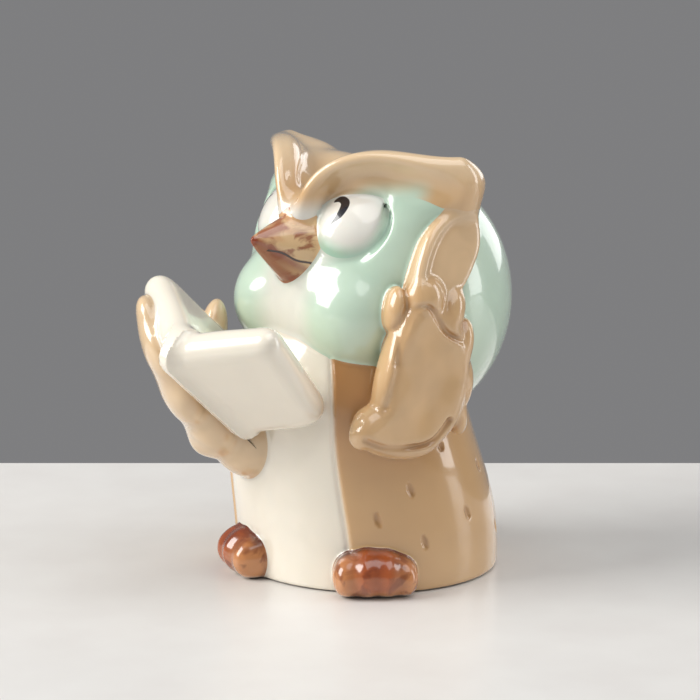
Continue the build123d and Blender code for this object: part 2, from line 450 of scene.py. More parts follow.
def book(P):
    p = to_head(P)
    d = None
    for side, (corner, taper, foot_round) in COVERS.items():
        u = unit(corner - SPINE_TOP)
        v0 = SPINE_TOP - SPINE_FOOT
        v = unit(v0 - np.dot(v0, u) * u)
        n = np.cross(u, v)
        n = n if n[1] > 0 else -n
        foot_corner = SPINE_FOOT + taper * (corner - SPINE_TOP)
        q = p - SPINE_TOP
        x, y, w = q @ u, q @ v, q @ n
        outer = (SPINE_TOP, corner, foot_corner, SPINE_FOOT)
        ring = [((X - SPINE_TOP) @ u, (X - SPINE_TOP) @ v) for X in outer]
        middle = np.mean(ring, 0)
        edges = []
        for a, b in zip(ring[:3], ring[1:4]):
            e = np.array(b) - a
            out = np.array([e[1], -e[0]]) / np.hypot(*e)
            if np.dot(out, middle - a) > 0:
                out = -out
            edges.append((x - a[0]) * out[0] + (y - a[1]) * out[1])
        outline = both(both(edges[0], edges[1], 4.5), edges[2], foot_round)
        belly = 0.5 * np.exp(-((x - 14) / 9) ** 2)
        thick = np.abs(w - (BOOK_T + belly) / 2) - (BOOK_T + belly) / 2
        leaf = both(outline, thick, 5.2)
        leaf = np.maximum(leaf, -side * p[:, 0] - 0.8)
        d = leaf if d is None else blend(d, leaf, 4.0)
    return d


WING_OUT = (0.8, -0.58, 0.1)
WING_C = np.array([30.5, -21.0, 60.0])
WING_UP = unit((0.05, 0.10, 1.0))
WING_SIDE = unit(np.cross(WING_OUT, WING_UP))
PALM = Slab(
    WING_C, WING_UP, WING_OUT,
    [   # towards the front, up
        (10.6, 15.5), (12.2, 9.5), (13.2, 4.5), (14.3, -2.6), (14.8, -7.0), (18.6, -9.8), (20.3, -15.0),
        (17.2, -19.4), (10.5, -21.8), (3.5, -21.9), (-2.6, -19.6), (-7.8, -13.8), (-10.4, -7.6), (-11.4, 1.0),
        (-10.0, 9.0), (-6.0, 16.0), (-0.5, 20.5), (5.0, 21.0), (8.8, 19.0),
    ],
    -6.0, 5.4, 5.5,
)
WING_FEATHERS = [   # towards the front, up, outward; half length, half width, half thickness; lean in degrees
    (3.6, 21.2, 0.6, 6.6, 5.6, 5.0, -4),
    (-3.6, 16.2, -0.2, 9.0, 4.6, 5.4, -18),
    (-9.0, 8.6, -1.2, 8.0, 3.4, 5.2, -8),
    (-10.6, -1.0, -1.4, 7.6, 3.0, 5.0, 0),
    (-9.6, -9.0, -1.4, 6.6, 3.0, 4.8, 16),
    (11.2, 18.4, -1.4, 6.2, 2.7, 4.4, -6),
    (12.9, 0.5, 0.2, 12.5, 1.7, 4.6, -8),
    (17.0, -14.6, 0.6, 5.4, 4.0, 4.6, -30),
]
WING_FOLDS = [            # grooves between the feathers: towards the front, up
    [(9.0, 18.0), (4.7, 19.6), (1.2, 16.6), (-1.9, 12.9), (-7.6, 10.5)],
    [(18.6, -17.0), (13.1, -18.7), (4.8, -18.3), (-1.0, -16.4), (-5.2, -10.9)],
    [(16.4, -6.2), (15.0, -7.2), (13.6, -7.8)],
    [(9.4, 23.0), (8.9, 18.6), (10.9, 11.5), (11.6, 4.0)],
]


def on_palm(across, up, high):
    return WING_C + WING_SIDE * across + WING_UP * up + unit(WING_OUT) * high


FOLD_RIDGES = [Ridge([(on_palm(u, v, 5.2), 0.9, 0.8, WING_OUT) for u, v in line]) for line in WING_FOLDS]


def wing_left(P):
    out = unit(WING_OUT)
    x, y, _ = PALM.place(P)
    waves = 0.4 * np.sin(0.40 * x + 0.8) * np.sin(0.30 * y + 0.5)
    hollow = 0.7 * np.exp(-((y - 2) / 9) ** 2 - (x / 5) ** 2)
    d = PALM(P - (waves - hollow)[:, None] * out)
    for across, up, proud, half_l, half_w, half_t, lean in WING_FEATHERS:
        a = math.radians(lean)
        along = WING_UP * math.cos(a) + WING_SIDE * math.sin(a)
        d = blend(d, lobe(P, on_palm(across, up, proud), (half_l, half_w, half_t), along, out), 1.1)
    for fold in FOLD_RIDGES:
        d = carve(d, fold(P), 0.8)
    return d


FEATHER_C = np.array([33.4, -11.5, 89.5])
FEATHER_ALONG = unit((-0.02, 0.52, 1.0))
FEATHER_OUT = unit((0.86, -0.42, 0.22))


FEATHER_OUTLINE = [   # sideways towards the face, along
    (12.0, -9.0), (12.4, -3.0), (12.0, 2.0), (10.6, 7.0), (8.0, 11.2), (3.8, 14.4), (-1.0, 15.2),
    (-4.0, 13.0), (-5.8, 7.5), (-5.5, 2.5), (-4.0, -4.0), (-1.5, -9.5), (2.0, -15.0), (9.0, -15.5),
]
FEATHER = Slab(FEATHER_C, FEATHER_ALONG, FEATHER_OUT, FEATHER_OUTLINE, -5.0, 3.2, 2.6)
FEATHER_RIM = 2.6         # the edge nearest the face stays raised for this width
FEATHER_DISH = Slab(
    FEATHER_C, FEATHER_ALONG, FEATHER_OUT,
    [(x - FEATHER_RIM, y - 0.8) for x, y in FEATHER_OUTLINE], 2.1, 9.0, 2.0,
)


def wing_left_feather(P):
    return carve(FEATHER(P), FEATHER_DISH(P), 1.0)


HAND_OUT = (-0.70, -0.40, -0.60)
HAND_UP = (-0.07, -0.56, 0.83)
HAND = [   # centre, half length, half width, half thickness, along, outward
    ((-21.0, -29.0, 40.0), (12.5, 12.0, 11.0), (-0.25, -0.45, 0.85), (-0.60, -0.35, -0.72)),
    ((-26.0, -40.5, 47.5), (13.0, 10.5, 8.0), HAND_UP, HAND_OUT),
    ((-25.0, -35.0, 44.0), (7.5, 7.0, 11.2), HAND_UP, (-0.35, -0.62, -0.70)),
    ((-28.5, -50.5, 57.0), (12.0, 10.5, 6.2), (-0.07, -0.50, 0.86), HAND_OUT),
    ((-30.6, -57.0, 67.0), (10.0, 9.0, 4.6), (-0.15, -0.45, 0.88), HAND_OUT),
    ((-34.5, -56.0, 75.0), (7.5, 7.0, 3.6), (-0.25, -0.20, 0.95), (-0.78, -0.50, -0.35)),
    ((-35.0, -38.0, 62.0), (14.0, 11.0, 4.6), (0.05, -0.30, 0.95), (-0.85, -0.35, -0.35)),
    ((-33.0, -28.0, 66.0), (10.5, 7.0, 4.0), (0.05, 0.20, 0.95), (-0.90, -0.40, 0.0)),
]


def wing_right(P):
    d = None
    for centre, radii, along, out in HAND:
        part = lobe(P, centre, radii, along, out)
        d = part if d is None else blend(d, part, 2.6)
    return d


FOOT_ANGLES = {1: 33.0, -1: 42.0}
FOOT_R = 34.3
TOE_Z = 6.0
TOES = [   # sideways place from the outer side in, half length, half width, half height
    (-7.6, 7.0, 4.0, 5.6), (-2.9, 8.4, 4.4, 6.6), (2.3, 8.6, 4.5, 6.8), (7.2, 7.4, 4.3, 6.0),
]


def foot(P, side):
    t = math.radians(FOOT_ANGLES[side])
    forward = np.array([side * math.sin(t), -math.cos(t), 0.0])
    sideways = -side * np.array([math.cos(t), side * math.sin(t), 0.0])
    d = lobe(P, forward * 31.5 + np.array([0, 0, 6.2]), (9.0, 9.6, 6.6), forward)
    for across, long, wide, high in TOES:
        fan = unit(forward + sideways * across * 0.03)
        centre = forward * FOOT_R + sideways * across + np.array([0, 0, TOE_Z * high / 6.6])
        d = blend(d, lobe(P, centre, (long, wide, high), fan), 2.8)
    return both(d, -P[:, 2], 1.2)


PIECES = [   # name, form, width of the glaze fillet that joins it on, slot
    ("body_shell", body, 1.0, "coat_glaze"),
    ("head_shell", head, 1.6, "mint_glaze"),
    ("brow_left", lambda P: brow(P, 1), 6.0, "brow_glaze"),
    ("brow_right", lambda P: brow(P, -1), 6.0, "brow_glaze"),
    ("eye_left", lambda P: eye(P, 1), 2.0, "eye_glaze"),
    ("eye_right", lambda P: eye(P, -1), 2.0, "eye_glaze"),
    ("beak", beak, 0.9, "beak_glaze"),
    ("open_book", book, 3.0, "book_glaze"),
    ("wing_left", wing_left, 1.2, "wing_glaze"),
    ("wing_left_feather", wing_left_feather, 1.2, "wing_glaze"),
    ("wing_right", wing_right, 1.4, "wing_glaze"),
    ("foot_left", lambda P: foot(P, 1), 0.9, "foot_glaze"),
    ("foot_right", lambda P: foot(P, -1), 0.9, "foot_glaze"),
]
FLOOR_T = 5.0
RING = 6.0
RING_DEPTH = 1.5
HOLE_R = 16.0
SEAT_R = 19.0
SEAT_DEPTH = 2.0
CAVITY_LIFT = 62.0
SLOT_HALF = (17.0, 2.3)
SLOT_Z = 92.0


def cavity(P):
    """The hollow inside: body and head, open to each other."""
    p = to_head(P)
    inner = both(both(body_section(P, WALL), FLOOR_T - P[:, 2], 2.0), P[:, 2] - CAVITY_LIFT, 3.0)
    skull = oval((p - SKULL_C) @ SKULL_AXES, SKULL_R - WALL)
    return blend(inner, skull, 3.0)


def openings(P):
    """Coin slot, recessed underside, stopper seat and hole."""
    p = to_head(P)
    x = np.maximum(np.abs(p[:, 0] - SKULL_C[0]) - (SLOT_HALF[0] - SLOT_HALF[1]), 0)
    slot = np.hypot(x, p[:, 2] - SLOT_Z) - SLOT_HALF[1]
    slot = np.maximum(slot, SKULL_C[1] - p[:, 1])
    c = BODY(np.zeros(1))[0]
    r = np.hypot(P[:, 0], P[:, 1])
    ring = (np.hypot((P[:, 0] - c[0]) / (c[2] - RING), (P[:, 1] - c[1]) / (c[3] - RING)) - 1) * (c[3] - RING)
    recess = np.maximum(ring, P[:, 2] - RING_DEPTH)
    seat = np.maximum(r - SEAT_R, P[:, 2] - RING_DEPTH - SEAT_DEPTH)
    hole = np.maximum(r - HOLE_R, P[:, 2] - FLOOR_T - WALL)
    return slot, np.minimum(np.minimum(recess, seat), hole)


def pieces_at(P):
    return np.stack([form(P) for _, form, _, _ in PIECES])


def joined(ds):
    """All pieces melted together, before the hollow is taken out."""
    F = ds[0]
    for d, (_, _, k, _) in zip(ds[1:], PIECES[1:]):
        F = blend(F, d, k)
    return F


def surface(P, ds=None):
    ds = pieces_at(P) if ds is None else ds
    F = both(both(joined(ds), -P[:, 2], 0.8), -cavity(P), 0.8)
    slot, base = openings(P)
    return carve(carve(F, slot, 1.6), base, 0.5)


# ------------------------------------------------------------------ from fields to meshes
CORNERS = np.array([(i, j, k) for i in (0, 1) for j in (0, 1) for k in (0, 1)])
EDGES = [(a, b) for a in range(8) for b in range(a + 1, 8) if abs(CORNERS[a] - CORNERS[b]).sum() == 1]
TETRA = np.array([(1, 1, 1), (1, -1, -1), (-1, 1, -1), (-1, -1, 1)]) / math.sqrt(3)
PROBE = 0.06                              # how far apart slopes are measured, mm
DAMPING = 0.02                            # keeps a step small where a slope is nearly nothing


def in_chunks(work, *arrays, size=40000):
    """The same work on slices of long arrays, four at a time; results joined in order."""
    starts = range(0, len(arrays[0]), size)
    with ThreadPoolExecutor(4) as pool:
        found = list(pool.map(lambda i: work(*(a[i:i + size] for a in arrays)), starts))
    return [np.concatenate(part) for part in zip(*found)]


def sample(P):
    ds = pieces_at(P)
    two = np.partition(ds, 1, axis=0)[:2]
    F = surface(P, ds)
    return F, np.where(F < 0, ds.argmin(0) + 1, 0).astype(np.int8), two[1] - two[0]


def label_grid(lo, blocks, step):
    """Which piece holds each grid point: 0 for air, else its number; worked out finely only near surfaces."""
    n = blocks * COARSE + 1
    ticks = np.stack(np.meshgrid(*(np.arange(b + 1) for b in blocks), indexing="ij"), -1).reshape(-1, 3)
    F, name, gap = in_chunks(sample, lo + ticks * step * COARSE)
    reach = step * COARSE * 1.25
    busy = (np.abs(F) < reach) | ((F < reach) & (gap < 2 * reach))
    shape = tuple(blocks + 1)
    busy, name = busy.reshape(shape), name.reshape(shape)
    active = np.zeros(tuple(blocks), bool)
    for i, j, k in CORNERS:
        active |= busy[i:i + blocks[0], j:j + blocks[1], k:k + blocks[2]]
    labels = np.zeros(tuple(n), np.int8)
    fine = np.zeros(tuple(n), bool)
    where = np.argwhere(active) * COARSE
    for i in range(COARSE + 1):
        for j in range(COARSE + 1):
            for k in range(COARSE + 1):
                fine[where[:, 0] + i, where[:, 1] + j, where[:, 2] + k] = True
    for axis in range(3):
        name = np.repeat(name, COARSE, axis=axis)
    labels[:] = name[:n[0], :n[1], :n[2]]
    points = np.argwhere(fine)
    labels[fine] = in_chunks(sample, lo + points * step)[1]
    return labels


def slopes(P, pair):
    """Surface value and slope, and the same for the border between two pieces."""
    F = np.zeros(len(P))
    G = np.zeros(len(P))
    dF = np.zeros_like(P)
    dG = np.zeros_like(P)
    rows = np.arange(len(P))
    for way in TETRA:
        Q = P + way * PROBE
        ds = pieces_at(Q)
        f = surface(Q, ds)
        g = ds[pair[:, 0], rows] - ds[pair[:, 1], rows]
        F += f / 4
        G += g / 4
        dF += way * f[:, None] * 0.75 / PROBE
        dG += way * g[:, None] * 0.75 / PROBE
    return F, dF, G, dG


def settle(P, pair, outer, seam, step):
    """Move points onto the surface, and onto the border between two pieces where they are on one."""
    F, dF, G, dG = in_chunks(slopes, P, pair)
    a = np.where(outer, 1.0, 0.0)[:, None]
    b = np.where(seam, 1.0, 0.0)[:, None]
    dF, dG = dF * a, dG * b
    F, G = F * a[:, 0], G * b[:, 0]
    aa, bb, ab = (dF * dF).sum(1) + DAMPING, (dG * dG).sum(1) + DAMPING, (dF * dG).sum(1)
    det = aa * bb - ab * ab
    move = -(dF * ((bb * F - ab * G) / det)[:, None] + dG * ((aa * G - ab * F) / det)[:, None])
    length = np.linalg.norm(move, axis=1)[:, None] + 1e-9
    return P + move * np.minimum(1, step / length), dF


def net(labels, lo, step):
    """One vertex in each mixed cell and one face across each mixed grid edge, for every piece."""
    n = np.array(labels.shape)
    cells = tuple(n - 1)
    first = labels[:-1, :-1, :-1]
    mixed = np.zeros(cells, bool)
    for i, j, k in CORNERS[1:]:
        mixed |= labels[i:i + cells[0], j:j + cells[1], k:k + cells[2]] != first
    cell = np.argwhere(mixed)
    number = np.full(cells, -1, np.int32)
    number[mixed] = np.arange(len(cell), dtype=np.int32)
    held = np.stack([labels[tuple((cell + c).T)] for c in CORNERS], 1)
    P = np.zeros((len(cell), 3))
    crossings = np.zeros(len(cell))
    for a, b in EDGES:
        change = held[:, a] != held[:, b]
        P += change[:, None] * (CORNERS[a] + CORNERS[b]) / 2
        crossings += change
    P = lo + (cell + P / crossings[:, None]) * step
    high = held.max(1)
    low = np.where(held == 0, 127, held).min(1)
    faces, owners = [], []
    for axis in range(3):
        u, v = (axis + 1) % 3, (axis + 2) % 3
        a = [slice(1, -1)] * 3
        b = [slice(1, -1)] * 3
        a[axis], b[axis] = slice(0, -1), slice(1, None)
        A, B = labels[tuple(a)], labels[tuple(b)]
        at = np.argwhere(A != B)
        own_a, own_b = A[A != B], B[A != B]
        at[:, u] += 1
        at[:, v] += 1
        quad = []
        for du, dv in ((1, 1), (0, 1), (0, 0), (1, 0)):
            c = at.copy()
            c[:, u] -= du
            c[:, v] -= dv
            quad.append(number[tuple(c.T)])
        quad = np.stack(quad, 1)
        faces += [quad[own_a > 0], quad[own_b > 0][:, ::-1]]
        owners += [own_a[own_a > 0], own_b[own_b > 0]]
    return P, np.concatenate(faces), np.concatenate(owners), low, high, (held == 0).any(1)


def relax(P, faces, share):
    """Each point moves part of the way to the middle of its neighbours.

    A point in none of the faces has no neighbours, and is drawn towards the origin instead.
    """
    total = np.zeros_like(P)
    count = np.zeros(len(P))
    for k in range(4):
        a, b = faces[:, k], faces[:, (k + 1) % 4]
        for axis in range(3):
            total[:, axis] += np.bincount(a, P[b, axis], len(P)) + np.bincount(b, P[a, axis], len(P))
        count += np.bincount(a, minlength=len(P)) + np.bincount(b, minlength=len(P))
    return P + share * (total / np.maximum(count, 1)[:, None] - P)


def sculpt():
    lo = np.array(CAD_BOX[0]) / MM - 3.0
    size = np.array(CAD_BOX[1]) / MM + 3.0 - lo
    blocks = np.ceil(size / (GRID_STEP * COARSE)).astype(int)
    labels = label_grid(lo, blocks, GRID_STEP)
    P, faces, owners, low, high, outer = net(labels, lo, GRID_STEP)
    pair = np.stack([np.clip(low, 1, len(PIECES)) - 1, np.clip(high, 1, len(PIECES)) - 1], 1).astype(int)
    seam = pair[:, 0] != pair[:, 1]
    shown = faces[outer[faces].all(1)]
    for _ in range(2):
        P, _ = settle(P, pair, outer, seam, GRID_STEP)
        P = relax(P, shown, 0.5)
    P, _ = settle(P, pair, outer, seam, GRID_STEP)
    P, slope = settle(P, pair, outer, seam, GRID_STEP)
    slope[~outer] = (0, 0, 1)
    slope /= np.linalg.norm(slope, axis=1)[:, None] + 1e-9
    return P, slope, faces, owners


def build_piece(index, P, normals, faces, owners):
    """The mesh of one clay piece, with its colour, painted shade and painted highlights stored on its points.
    """
    name, _, _, slot_name = PIECES[index]
    mine = faces[owners == index + 1]
    used, local = np.unique(mine, return_inverse=True)
    local = local.reshape(-1, 4)
    mesh = bpy.data.meshes.new("glazed_" + name)
    mesh.vertices.add(len(used))
    mesh.vertices.foreach_set("co", (P[used] * MM).astype(np.float32).ravel())
    mesh.loops.add(local.size)
    mesh.loops.foreach_set("vertex_index", local.astype(np.int32).ravel())
    mesh.polygons.add(len(local))
    mesh.polygons.foreach_set("loop_start", np.arange(0, local.size, 4, dtype=np.int32))
    mesh.update(calc_edges=True)
    mesh.polygons.foreach_set("use_smooth", np.ones(len(local), bool))
    mesh.normals_split_custom_set_from_vertices(normals[used].tolist())
    colour, ink = paint_and_shading(P[used], normals[used], name)
    # the stored colour includes painted shade and painted highlights as well as the glaze colours
    layer = mesh.attributes.new("paint_and_shading", "FLOAT_COLOR", "POINT")
    layer.data.foreach_set("color", np.c_[colour, np.ones(len(used))].astype(np.float32).ravel())
    layer = mesh.attributes.new("ink", "FLOAT", "POINT")
    layer.data.foreach_set("value", ink.astype(np.float32))
    piece = bpy.data.objects.new("glazed_" + name, mesh)
    bpy.context.collection.objects.link(piece)
    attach(piece, "owl")
    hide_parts(name)
    return piece


# ------------------------------------------------------------------ colour, painted shade and painted highlights
def linear(red, green, blue):
    """A colour given as seen on screen, 0 to 255, as Blender's linear light."""
    c = np.array([red, green, blue]) / 255.0
    return np.where(c <= 0.04045, c / 12.92, ((c + 0.055) / 1.055) ** 2.4)


CREAM = linear(248, 240, 224)
WHITE = linear(240, 237, 228)
MINT = linear(204, 226, 206)
MINT_DEEP = linear(162, 208, 184)
TAN = linear(221, 182, 134)
TAN_PALE = linear(238, 212, 176)
TAN_DEEP = linear(172, 118, 62)
RUST = linear(146, 62, 26)
RUST_WARM = linear(186, 98, 44)
BEAK_PALE = linear(232, 196, 148)
TOE_PALE = linear(226, 166, 108)
COAT = linear(210, 168, 116)
BISQUE = linear(222, 212, 198)
CREASE = 2.0                               # how far out a crease is felt, mm
EDGE = 1.2                                 # how far in a sharp edge is felt, mm
STROKES = {   # brush strokes on the eyes, head frame, mirrored with the eye: point, half width
    "eye_left": [
        ((10.2, -20.6, 104.7), 0.5), ((11.2, -20.0, 105.5), 0.95), ((12.8, -20.2, 105.4), 1.25),
        ((13.7, -21.8, 104.0), 1.15), ((13.5, -23.4, 102.3), 0.8), ((12.2, -25.0, 100.4), 0.1),
    ],
    "eye_right": [
        ((15.1, -20.4, 104.2), 0.2), ((17.0, -20.6, 102.8), 0.5), ((17.5, -21.8, 100.9), 0.65),
        ((17.6, -22.9, 99.0), 0.6), ((17.3, -23.8, 97.6), 0.3),
    ],
}


def mix(a, b, share):
    return a + (b - a) * share[:, None]


def ramp(x, low, high):
    t = np.clip((x - low) / (high - low), 0, 1)
    return t * t * (3 - 2 * t)


def beak_place(P):
    """Share of the way to the tip, sideways and upward offsets of points on the beak."""
    axis = BEAK_TIP - BEAK_ROOT
    q = (to_head(P) - BEAK_ROOT) @ axes_of(axis, (0, 0, 1))
    return q[:, 0] / np.linalg.norm(axis), q[:, 1], q[:, 2]


def ink_distance(P, name):
    """How far each point is inside the brush stroke, mm; negative is bare glaze."""
    if name == "beak":
        t, _, up = beak_place(P)
        line = -0.9 - 3.4 * (1 - t) + 0.3 * np.sin(14 * t)
        return np.where((t > 0) & (t < 0.76), up - line, 9.0)
    if name not in STROKES:
        return np.full(len(P), -9.0)
    p = mirror(to_head(P), 1 if name == "eye_left" else -1)
    points = np.array([s[0] for s in STROKES[name]])
    run = np.concatenate([[0], np.cumsum(np.linalg.norm(np.diff(points, axis=0), axis=1))])
    line = Spline(run, np.c_[points, [s[1] for s in STROKES[name]]])
    dense = line(np.linspace(0, run[-1], 160))
    middle = EYE_FACE - EYE_OUT * EYE_DEPTH
    axes = axes_of(EYE_LONG, EYE_OUT)
    local = (dense[:, :3] - middle) @ axes / EYE_R
    dense[:, :3] = middle + (local / np.linalg.norm(local, axis=1)[:, None] * EYE_R) @ axes.T
    gap = np.linalg.norm(p[:, None, :] - dense[None, :, :3], axis=2)
    return (dense[None, :, 3] - gap).max(1)


def crease_and_edge(P, normals):
    """How hollow and how sharp the surface is at each point, 0 to 1."""
    outside = in_chunks(lambda Q: (surface(Q),), P + normals * CREASE)[0]
    inside = in_chunks(lambda Q: (surface(Q),), P - normals * EDGE)[0]
    return np.clip(1 - outside / CREASE, 0, 1), np.clip((EDGE + inside) / EDGE, 0, 1)


def paint_and_shading(P, normals, name):
    """Sprayed and brushed colour at each point of a piece, with painted shade in creases and painted
    highlights on edges and the brow rim, and the brush stroke.
    """
    p = to_head(P)
    x, y, z = p.T
    crease, edge = crease_and_edge(P, normals)
    eye_gap = np.minimum(*(np.linalg.norm(mirror(p, s) - EYE_FACE, axis=1) for s in (1, -1)))
    if name == "body_shell":
        past = coat_border(P)
        depth = ramp(P[:, 2], 22, 62) * np.exp(-np.clip(past, 0, None) / 26)
        coat = mix(mix(TAN, COAT, ramp(P[:, 2], 0, 22)), TAN_DEEP, depth * 0.85)
        colour = mix(np.tile(CREAM, (len(P), 1)), coat, ramp(past, -1.0, 0.3))
        dash = np.min([lobe(P, c, (2.3, 1.1, 1.2), along, out) for c, along, out in DASHES], 0)
        colour = mix(colour, TAN_DEEP, (1 - ramp(dash, -0.5, 0.4)) * 0.45)
    elif name == "head_shell":
        inner = (1 - ramp(eye_gap, 9, 19)) * (1 - ramp(np.abs(x) - 0.35 * (z - 99), 11, 20))
        colour = mix(np.tile(MINT, (len(P), 1)), WHITE, inner)
        between = (1 - ramp(np.abs(x), 4, 14)) * (1 - ramp(y, -22, -6))
        colour = mix(colour, WHITE, between * (1 - ramp(z, 88, 100)) * 0.9)
        colour = mix(colour, MINT_DEEP, crease * 0.5)
        valley = (1 - ramp(np.abs(x), 3.5, 8.5)) * ramp(z, 97, 102) * (1 - ramp(y, 0, 12))
        crown = np.maximum(ramp(z, 107.5, 112.0) * (1 - ramp(y, 12, 24)), valley)
        colour = mix(colour, TAN, crown)
    elif name.startswith("brow"):
        # paler towards the top of the brow: a painted highlight along its rim
        colour = mix(np.tile(TAN, (len(P), 1)), TAN_PALE, ramp(z, 108, 116) * 0.7)
        fade_z = z - 0.10 * np.abs(x) - 3.5 * ramp(np.abs(x), 8, 18)
        front = (1 - ramp(fade_z, 101.5, 107.5)) * (1 - ramp(np.abs(x), 27, 32))
        colour = mix(colour, mix(np.tile(WHITE, (len(P), 1)), MINT, ramp(np.abs(x), 6, 16)), front)
    elif name.startswith("eye"):
        low = ramp(99.5 - z + 0.4 * (np.abs(x) - 15), -3, 5)
        colour = mix(np.tile(WHITE, (len(P), 1)), MINT_DEEP, ramp(eye_gap, 6.5, 10.5) * (0.25 + 0.65 * low))
    elif name == "beak":
        t, side, up = beak_place(P)
        wave = 0.16 * np.sin(0.9 * side + 7 * t) + 0.12 * np.sin(1.7 * up - 11 * t)
        low = ramp(-up - 9.5 * (1 - t) + 3.2 + 6 * wave, 0, 3.5)
        high = ramp(up - 9.5 * (1 - t) + 1.8 + 9 * wave, 0, 3.0) * ramp(t, 0.05, 0.3)
        root = ramp(0.10 - t + 0.5 * wave, 0, 0.14)
        colour = mix(np.tile(BEAK_PALE, (len(P), 1)), RUST_WARM, np.clip(high * 0.35 + root * 0.3, 0, 1))
        colour = mix(colour, RUST, np.clip(low * 0.85 + ramp(t, 0.88, 0.98) * 0.5, 0, 1))
    elif name == "open_book":
        colour = np.tile(CREAM, (len(P), 1))
    elif name.startswith("foot"):
        t = math.radians(FOOT_ANGLES[1 if name == "foot_left" else -1]) * (1 if name == "foot_left" else -1)
        forward = P @ np.array([math.sin(t), -math.cos(t), 0.0])
        across = P @ np.array([math.cos(t), math.sin(t), 0.0])
        brushed = np.exp(-(across / 5.5) ** 2) * ramp(P[:, 2], 1.0, 4.0)
        colour = mix(np.tile(TOE_PALE, (len(P), 1)), RUST_WARM, np.clip(0.35 + brushed, 0, 1))
        colour = mix(colour, RUST, ramp(P[:, 2], 4, 11) * (0.25 + 0.55 * brushed))
        colour = mix(colour, CREAM, (1 - ramp(P[:, 2], 0.2, 1.6)) * 0.8)
        # darker at the top back of the foot, where it goes under the body: partly pooled iron glaze, partly
        # painted shade
        colour = mix(colour, RUST * 0.4, (1 - ramp(forward, 35.0, 38.0)) * ramp(P[:, 2], 8, 11))
        # darker in creases between the toes and against the body: partly pooled iron glaze, partly painted
        # shade
        colour = mix(colour, RUST * 0.45, np.clip(crease * 1.6, 0, 1) * 0.6)
    else:
        # wing_right is painted paler, with shallower creases, as painted light for a piece that faces down
        # into shade
        pale = {"wing_left": 0.0, "wing_left_feather": 0.35, "wing_right": 0.7}[name]
        # paler on sharp edges: partly glaze running thin there, partly a painted highlight
        colour = mix(np.tile(TAN, (len(P), 1)), TAN_PALE, np.clip(edge * 0.55 + pale, 0, 1))
        # darker in the grooves: partly glaze pooling there, partly painted shade
        colour = mix(colour, TAN_DEEP, np.clip(crease * 1.3, 0, 1) * (0.6 - 0.4 * pale))
    # darker in creases on the body, head, brows and book: painted shade
    if not name.startswith(("eye", "foot", "beak", "wing")):
        colour = colour * (1 - 0.22 * crease[:, None] ** 1.5)
    ring = (P[:, 2] < 0.35) & (normals[:, 2] < -0.7)
    colour[ring] = BISQUE
    return colour, ink_distance(P, name)


# ------------------------------------------------------------------ materials
class Nodes:
    """Short way to build a node tree."""

    def __init__(self, name):
        self.material = bpy.data.materials.new(name)
        self.material.use_nodes = True
        self.tree = self.material.node_tree
        self.tree.nodes.clear()
        self.shader = self.add("ShaderNodeBsdfPrincipled")
        self.link(self.shader, "BSDF", self.add("ShaderNodeOutputMaterial"), "Surface")
        self.place = self.add("ShaderNodeTexCoord")

    def add(self, kind, **values):
        node = self.tree.nodes.new(kind)
        for key, value in values.items():
            if hasattr(node, key):
                setattr(node, key, value)
            else:
                node.inputs[key.replace("_", " ")].default_value = value
        return node

    def link(self, source, output, target, socket):
        self.tree.links.new(source.outputs[output], target.inputs[socket])

    def noise(self, scale, detail=2.0, warp=0.0):
        node = self.add("ShaderNodeTexNoise", Scale=scale, Detail=detail, Distortion=warp)
        self.link(self.place, "Object", node, "Vector")
        return node

    def ramp(self, source, output, stops):
        node = self.add("ShaderNodeValToRGB")
        while len(node.color_ramp.elements) < len(stops):
            node.color_ramp.elements.new(0.5)
        for element, (at, colour) in zip(node.color_ramp.elements, stops):
            element.position = at
            element.color = (*colour, 1.0)
        self.link(source, output, node, "Fac")
        return node

    def blend(self, share, share_out, a, b, how="MIX"):
        """a and b are (node, output) or a colour; share is a node or a number."""
        node = self.add("ShaderNodeMix", data_type="RGBA", blend_type=how, clamp_factor=True)
        if share_out is None:
            node.inputs["Factor"].default_value = share
        else:
            self.link(share, share_out, node, "Factor")
        for value, at in ((a, 6), (b, 7)):
            if isinstance(value[0], bpy.types.Node):
                self.tree.links.new(value[0].outputs[value[1]], node.inputs[at])
            else:
                node.inputs[at].default_value = (*value, 1.0)
        return node


def gray(value):
    return (value, value, value)


def glaze(name, mottle=0.05, mottle_scale=90.0):
    """Painted glaze under a clear coat: sprayed colour with painted shade and painted highlights, slight
    mottling, long soft waves in the gloss.
    """
    n = Nodes(name)
    colour = n.add("ShaderNodeAttribute", attribute_name="paint_and_shading")
    soft = n.ramp(n.noise(mottle_scale, 1.0, 0.4), "Fac", [(0.3, gray(1 - mottle)), (0.7, gray(1.0))])
    base = n.blend(1.0, None, (colour, "Color"), (soft, "Color"), "MULTIPLY")
    n.link(base, 2, n.shader, "Base Color")
    finish_glaze(n)
    return n


def finish_glaze(n):
    rough = n.add("ShaderNodeMapRange", From_Min=0.3, From_Max=0.7, To_Min=0.22, To_Max=0.26)
    n.link(n.noise(45.0), "Fac", rough, "Value")
    n.link(rough, "Result", n.shader, "Roughness")
    bump = n.add("ShaderNodeBump", Strength=0.10, Distance=0.0006)
    n.link(n.noise(60.0, 0.0), "Fac", bump, "Height")
    n.link(bump, "Normal", n.shader, "Coat Normal")
    n.shader.inputs["Coat Weight"].default_value = 1.0
    n.shader.inputs["Coat Roughness"].default_value = 0.035
    n.shader.inputs["Coat IOR"].default_value = 1.55
    n.shader.inputs["Subsurface Weight"].default_value = 0.08
    n.shader.inputs["Subsurface Radius"].default_value = (0.004, 0.003, 0.002)
    n.shader.inputs["Subsurface Scale"].default_value = 0.5


def inked_glaze(name, ink_colour):
    n = glaze(name, 0.04)
    draw_ink(n, ink_colour)
    return n


